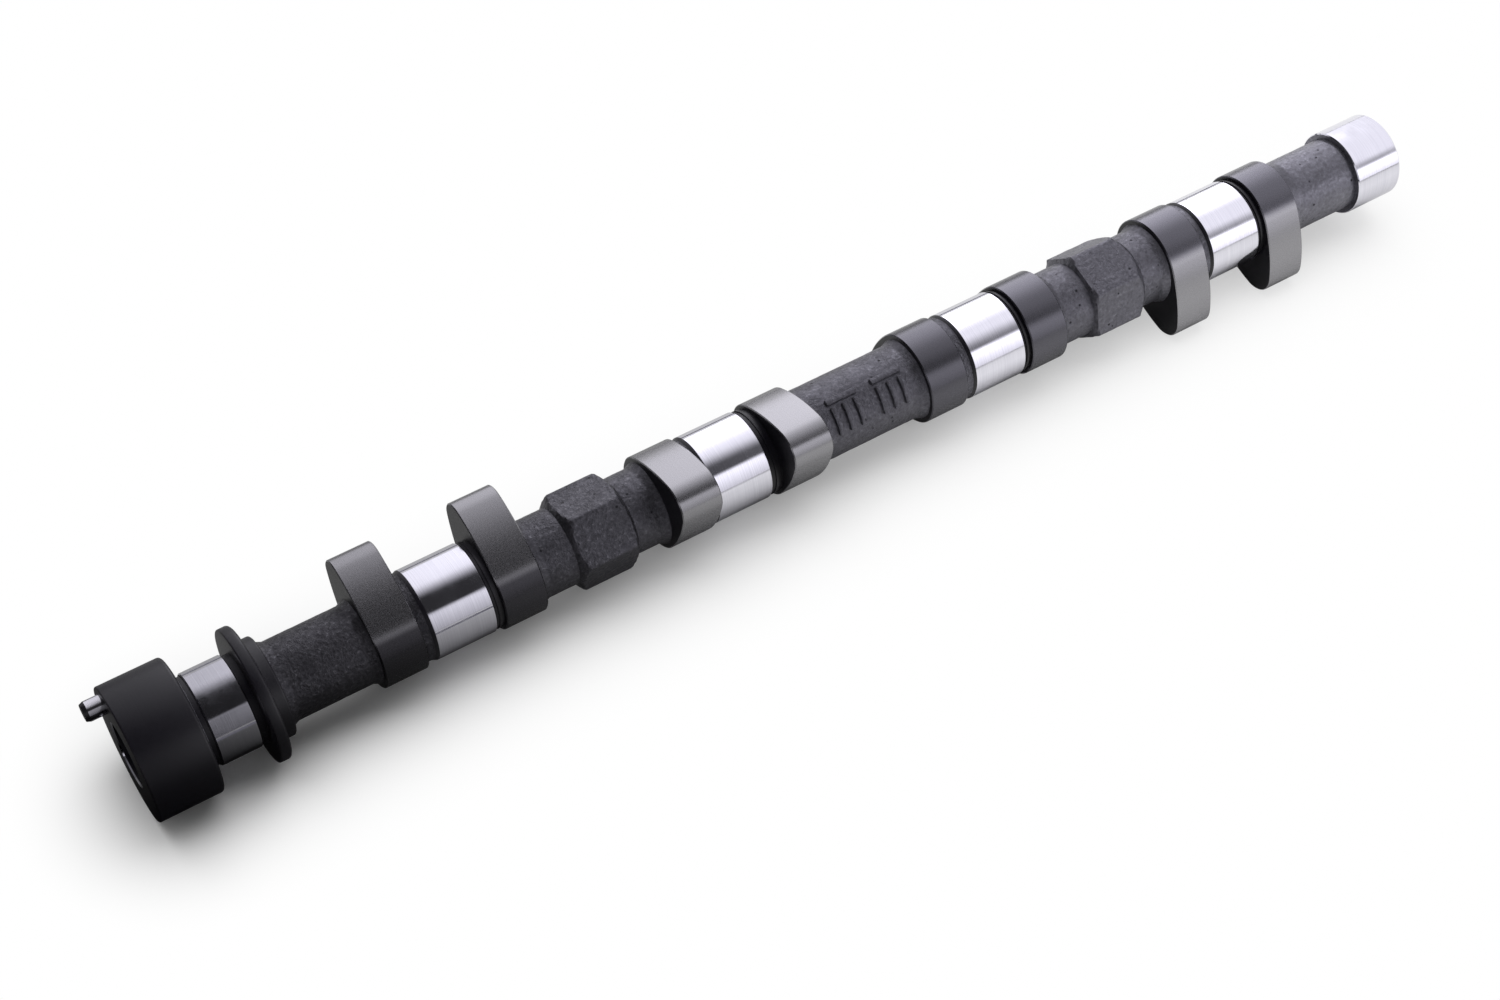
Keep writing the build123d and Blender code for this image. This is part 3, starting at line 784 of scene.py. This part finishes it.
# Bright metal shows the paper graded: it falls into shade in front of the shaft and toward the nose.
where = add_node(tree, "ShaderNodeTexCoord")
spot = add_node(tree, "ShaderNodeSeparateXYZ", {0: where.outputs["Object"]})
front_tone = add_node(tree, "ShaderNodeMapRange", {
    "Value": spot.outputs["X"], "From Min": -0.24, "From Max": 0.1, "To Max": 1.05},
    interpolation_type="SMOOTHSTEP")
close_tone = add_node(tree, "ShaderNodeMapRange", {
    "Value": spot.outputs["Y"], "From Min": -0.07, "From Max": -0.01, "To Min": 1.0, "To Max": 0.8})
front_shade = add_node(tree, "ShaderNodeMath", {0: front_tone.outputs[0], 1: close_tone.outputs[0]},
                       operation="MULTIPLY")
rear_shade = add_node(tree, "ShaderNodeMapRange", {
    "Value": spot.outputs["X"], "From Min": -0.22, "From Max": 0.25, "To Min": 0.35, "To Max": 1.0})
behind = add_node(tree, "ShaderNodeMapRange", {
    "Value": spot.outputs["Y"], "From Min": -0.01, "From Max": 0.03})
shade = add_node(tree, "ShaderNodeMix", {
    "Factor": behind.outputs[0], 2: front_shade.outputs[0], 3: rear_shade.outputs[0]}, data_type="FLOAT")
# Past the nose face the paper is darker again, for the pin and the nose face that mirror it.
before_nose = add_node(tree, "ShaderNodeMapRange", {
    "Value": spot.outputs["X"], "From Min": -0.2225, "From Max": -0.2165, "To Min": 0.45})
mirrored = add_node(tree, "ShaderNodeMath", {0: shade.outputs[0], 1: before_nose.outputs[0]},
                    operation="MULTIPLY")
graded = add_node(tree, "ShaderNodeMix", {
    "Factor": rays.outputs["Is Glossy Ray"], 2: 1.0, 3: mirrored.outputs[0]}, data_type="FLOAT")
paper_colour = add_node(tree, "ShaderNodeMix", {
    "Factor": graded.outputs[0], 6: linear("#000000"), 7: linear("#f2f2f2")}, data_type="RGBA")
paper = add_node(tree, "ShaderNodeBsdfDiffuse", {"Color": paper_colour.outputs[2]})
# The picture shows the paper pure white, apart from the soft shadow close to the shaft, which fades to
# the tail. Distance is taken from the shaft's middle line, and round its two ends from a little inside.
SHADOW_LINE_END = 0.205
SHADOW_REACH = 0.052
reach = add_node(tree, "ShaderNodeMath", {0: spot.outputs["X"]}, operation="ABSOLUTE")
past_end = add_node(tree, "ShaderNodeMath", {0: reach.outputs[0], 1: SHADOW_LINE_END}, operation="SUBTRACT")
beyond = add_node(tree, "ShaderNodeMath", {0: past_end.outputs[0], 1: 0.0}, operation="MAXIMUM")
from_shaft = add_node(tree, "ShaderNodeCombineXYZ", {"X": beyond.outputs[0], "Y": spot.outputs["Y"]})
distance = add_node(tree, "ShaderNodeVectorMath", {0: from_shaft.outputs[0]}, operation="LENGTH")
fade_start = add_node(tree, "ShaderNodeMapRange", {
    "Value": spot.outputs["X"], "From Min": -0.21, "From Max": 0.15, "To Min": 0.013, "To Max": -0.045})
white_part = add_node(tree, "ShaderNodeMapRange", {
    "Value": distance.outputs["Value"], "From Min": fade_start.outputs[0], "From Max": SHADOW_REACH},
    interpolation_type="SMOOTHSTEP")
camera_part = add_node(tree, "ShaderNodeMath", {0: white_part.outputs[0], 1: rays.outputs["Is Camera Ray"]},
                       operation="MULTIPLY")
to_white = add_node(tree, "ShaderNodeEmission", {"Color": linear("#ffffff"), "Strength": 1.0})
seen_paper = add_node(tree, "ShaderNodeMixShader", {
    0: camera_part.outputs[0], 1: paper.outputs[0], 2: to_white.outputs[0]})
add_node(tree, "ShaderNodeOutputMaterial", {"Surface": seen_paper.outputs[0]})
floor.data.materials.append(sweep)

# Dark felt strips lie on the paper out of the picture. Only the bright metal shows them, as thin lines.
REAR_FELT = ((-1.2, 0.125), (0.29, 0.215))
FRONT_FELT = ((-1.2, -0.42), (-0.02, -0.19))
FELT_HEIGHT = 0.001
felt, tree = new_finish("dark felt")
wool = add_node(tree, "ShaderNodeBsdfDiffuse", {"Color": linear("#6c6b73")})
add_node(tree, "ShaderNodeOutputMaterial", {"Surface": wool.outputs[0]})
for name, (low, high) in (("rear_felt", REAR_FELT), ("front_felt", FRONT_FELT)):
    strip = sheet(name, low, high, FELT_HEIGHT)
    strip.data.materials.append(felt)
    strip.visible_camera = False
    strip.visible_diffuse = False
    strip.visible_shadow = False

# The lamp hangs behind the shaft and faces it. The metal mirrors the room, not the lamp.
LAMP_PLACE = (0.15, 0.4, 1.25)
LAMP_SIZE = (1.8, 1.5)
LAMP_WATTS = 23.0
lamp = bpy.data.lights.new("soft lamp", "AREA")
lamp.shape = "RECTANGLE"
lamp.size, lamp.size_y = LAMP_SIZE
lamp.energy = LAMP_WATTS
lamp_holder = put("soft lamp", lamp)
lamp_holder.location = LAMP_PLACE
lamp_holder.rotation_euler = (-lamp_holder.location).to_track_quat("-Z", "Y").to_euler()
lamp_holder.visible_glossy = False

world = bpy.data.worlds.new("white room")
bpy.context.scene.world = world
world.cycles.sampling_method = "NONE"
world.use_nodes = True
tree = world.node_tree
tree.nodes.clear()
rays = add_node(tree, "ShaderNodeLightPath")
where = add_node(tree, "ShaderNodeTexCoord")
side = add_node(tree, "ShaderNodeSeparateXYZ", {0: where.outputs["Generated"]})
# Tilt is the angle from overhead toward the front, and lean is how far the direction runs to the tail.
toward_front = add_node(tree, "ShaderNodeMath", {0: side.outputs["Y"], 1: -1.0}, operation="MULTIPLY")
tilt = add_node(tree, "ShaderNodeMath", {0: toward_front.outputs[0], 1: side.outputs["Z"]},
                operation="ARCTAN2")
square_y = add_node(tree, "ShaderNodeMath", {0: side.outputs["Y"], 1: 2.0}, operation="POWER")
square_z = add_node(tree, "ShaderNodeMath", {0: side.outputs["Z"], 1: 2.0}, operation="POWER")
square = add_node(tree, "ShaderNodeMath", {0: square_y.outputs[0], 1: square_z.outputs[0]}, operation="ADD")
across_reach = add_node(tree, "ShaderNodeMath", {0: square.outputs[0]}, operation="SQRT")
lean = add_node(tree, "ShaderNodeMath", {0: side.outputs["X"], 1: across_reach.outputs[0]},
                operation="DIVIDE")
# The gap starts behind overhead at the nose and in front of it at the tail, and ends at the front light.
# In degrees of tilt: the gap's middle and its move for each unit of lean, its soft start, and the start
# of the front light.
GAP_START, GAP_MOVE = -41, 130
GAP_BEFORE, GAP_AFTER = -18, 20
FRONT_AT_NOSE, FRONT_AT_TAIL, FRONT_SOFTNESS = 41, 53, 10
gap_line = add_node(tree, "ShaderNodeMath", {
    0: lean.outputs[0], 1: math.radians(GAP_MOVE), 2: math.radians(GAP_START)}, operation="MULTIPLY_ADD")
# The dowel pin mirrors the directions that lean least, and hardly anything else does. For it the gap
# lies further to the front, and the light is stronger.
PIN_GAP_SHIFT = 36
PIN_FRONT_LIGHT, PIN_ROOM_LIGHT = 0.43, 1.15
at_pin = add_node(tree, "ShaderNodeMapRange", {
    "Value": lean.outputs[0], "From Min": 0.076, "From Max": 0.082, "To Min": math.radians(PIN_GAP_SHIFT),
    "To Max": 0.0})
gap_middle = add_node(tree, "ShaderNodeMath", {0: gap_line.outputs[0], 1: at_pin.outputs[0]},
                      operation="ADD")
gap_near = add_node(tree, "ShaderNodeMath", {0: gap_middle.outputs[0], 1: math.radians(GAP_BEFORE)},
                    operation="ADD")
gap_full = add_node(tree, "ShaderNodeMath", {0: gap_middle.outputs[0], 1: math.radians(GAP_AFTER)},
                    operation="ADD")
front_edge = add_node(tree, "ShaderNodeMapRange", {
    "Value": lean.outputs[0], "From Min": 0.5, "From Max": 0.72, "To Min": math.radians(FRONT_AT_NOSE),
    "To Max": math.radians(FRONT_AT_TAIL)})
gap_far = add_node(tree, "ShaderNodeMath", {0: gap_full.outputs[0], 1: front_edge.outputs[0]},
                   operation="MINIMUM")
gap_start = add_node(tree, "ShaderNodeMapRange", {
    "Value": tilt.outputs[0], "From Min": gap_near.outputs[0], "From Max": gap_far.outputs[0]},
    interpolation_type="SMOOTHSTEP")
front_full = add_node(tree, "ShaderNodeMath", {0: front_edge.outputs[0], 1: math.radians(FRONT_SOFTNESS)},
                      operation="ADD")
front_light = add_node(tree, "ShaderNodeMapRange", {
    "Value": tilt.outputs[0], "From Min": front_edge.outputs[0], "From Max": front_full.outputs[0]},
    interpolation_type="SMOOTHSTEP")
gap_end = add_node(tree, "ShaderNodeMath", {0: 1.0, 1: front_light.outputs[0]}, operation="SUBTRACT")
gap = add_node(tree, "ShaderNodeMath", {0: gap_start.outputs[0], 1: gap_end.outputs[0]}, operation="MULTIPLY")
gap_floor = add_node(tree, "ShaderNodeMapRange", {
    "Value": lean.outputs[0], "From Min": 0.3, "From Max": 0.72, "To Min": 0.03, "To Max": 0.45})
gap_level = add_node(tree, "ShaderNodeMapRange", {
    "Value": gap.outputs[0], "To Min": 1.0, "To Max": gap_floor.outputs[0]})
# The front light falls off toward the nose and down to the floor, and rises again at the tail.
front_lean = add_node(tree, "ShaderNodeMapRange", {
    "Value": lean.outputs[0], "From Min": 0.08, "From Max": 0.32, "To Min": 0.12, "To Max": 1.2})
front_low = add_node(tree, "ShaderNodeMapRange", {
    "Value": tilt.outputs[0], "From Min": math.radians(56), "From Max": math.radians(95), "To Min": 1.0,
    "To Max": 0.5})
front_tail = add_node(tree, "ShaderNodeMapRange", {
    "Value": lean.outputs[0], "From Min": 0.4, "From Max": 0.62, "To Min": 1.0, "To Max": 1.5})
front_pin = add_node(tree, "ShaderNodeMath", {
    0: at_pin.outputs[0], 1: PIN_FRONT_LIGHT, 2: front_lean.outputs[0]}, operation="MULTIPLY_ADD")
front_broad = add_node(tree, "ShaderNodeMath", {0: front_pin.outputs[0], 1: front_tail.outputs[0]},
                       operation="MULTIPLY")
front_level = add_node(tree, "ShaderNodeMath", {0: front_broad.outputs[0], 1: front_low.outputs[0]},
                       operation="MULTIPLY")
front_part = add_node(tree, "ShaderNodeMapRange", {
    "Value": front_light.outputs[0], "To Min": 1.0, "To Max": front_level.outputs[0]})
# The light is strongest behind the shaft, except at the very tail. The room is darkest past the nose.
DARKEST_LEAN = -0.35
from_darkest = add_node(tree, "ShaderNodeMath", {0: lean.outputs[0], 1: -DARKEST_LEAN}, operation="ADD")
away = add_node(tree, "ShaderNodeMath", {0: from_darkest.outputs[0]}, operation="ABSOLUTE")
rear_level = add_node(tree, "ShaderNodeMapRange", {
    "Value": away.outputs[0], "From Min": 0.38, "From Max": 1.0, "To Min": 0.1, "To Max": 3.7})
tail_fall = add_node(tree, "ShaderNodeMapRange", {
    "Value": lean.outputs[0], "From Min": 0.65, "From Max": 0.71, "To Min": 1.0, "To Max": 0.29})
rear_part = add_node(tree, "ShaderNodeMath", {0: rear_level.outputs[0], 1: tail_fall.outputs[0]},
                     operation="MULTIPLY")
top_part = add_node(tree, "ShaderNodeMapRange", {
    "Value": away.outputs[0], "From Min": 0.38, "From Max": 0.57, "To Min": 0.1, "To Max": 1.12})
overhead = add_node(tree, "ShaderNodeMapRange", {
    "Value": tilt.outputs[0], "From Min": math.radians(-60), "From Max": math.radians(-5)},
    interpolation_type="SMOOTHSTEP")
room_level = add_node(tree, "ShaderNodeMix", {
    "Factor": overhead.outputs[0], 2: rear_part.outputs[0], 3: top_part.outputs[0]}, data_type="FLOAT")
pin_level = add_node(tree, "ShaderNodeMath", {
    0: at_pin.outputs[0], 1: PIN_ROOM_LIGHT, 2: room_level.outputs[0]}, operation="MULTIPLY_ADD")
two_levels = add_node(tree, "ShaderNodeMath", {0: pin_level.outputs[0], 1: gap_level.outputs[0]},
                      operation="MULTIPLY")
reflected = add_node(tree, "ShaderNodeMath", {0: two_levels.outputs[0], 1: front_part.outputs[0]},
                     operation="MULTIPLY")
shiny = add_node(tree, "ShaderNodeMath", {
    0: rays.outputs["Is Glossy Ray"], 1: rays.outputs["Is Transmission Ray"]}, operation="MAXIMUM")
# The camera sees the room white. DAYLIGHT is how strongly it lights the object.
DAYLIGHT = 0.2
plain = add_node(tree, "ShaderNodeMapRange", {
    "Value": rays.outputs["Is Camera Ray"], "To Min": DAYLIGHT, "To Max": 1.0})
strength = add_node(tree, "ShaderNodeMix", {
    "Factor": shiny.outputs[0], 2: plain.outputs[0], 3: reflected.outputs[0]}, data_type="FLOAT")
sky = add_node(tree, "ShaderNodeMix", {
    "Factor": shiny.outputs[0], 6: linear("#ffffff"), 7: linear("#f6f5fc")}, data_type="RGBA")
background = add_node(tree, "ShaderNodeBackground", {
    "Color": sky.outputs[2], "Strength": strength.outputs[0]})
add_node(tree, "ShaderNodeOutputWorld", {"Surface": background.outputs[0]})

# The camera stands where the photograph was taken from, in front of the shaft and above its nose.
CAMERA_PLACE = (-273.13, -385.48, 585.06)
CAMERA_TURNS = (38.17, -0.762, -32.407)
LENS_LENGTH = 58.675
FILM_WIDTH = 36.0
camera_data = bpy.data.cameras.new("camera")
camera_data.lens = LENS_LENGTH
camera_data.sensor_width = FILM_WIDTH
camera = put("camera", camera_data)
camera.location = Vector(CAMERA_PLACE) * MM
camera.rotation_euler = [math.radians(turn) for turn in CAMERA_TURNS]
bpy.context.scene.camera = camera
bpy.context.scene.view_settings.view_transform = "Standard"
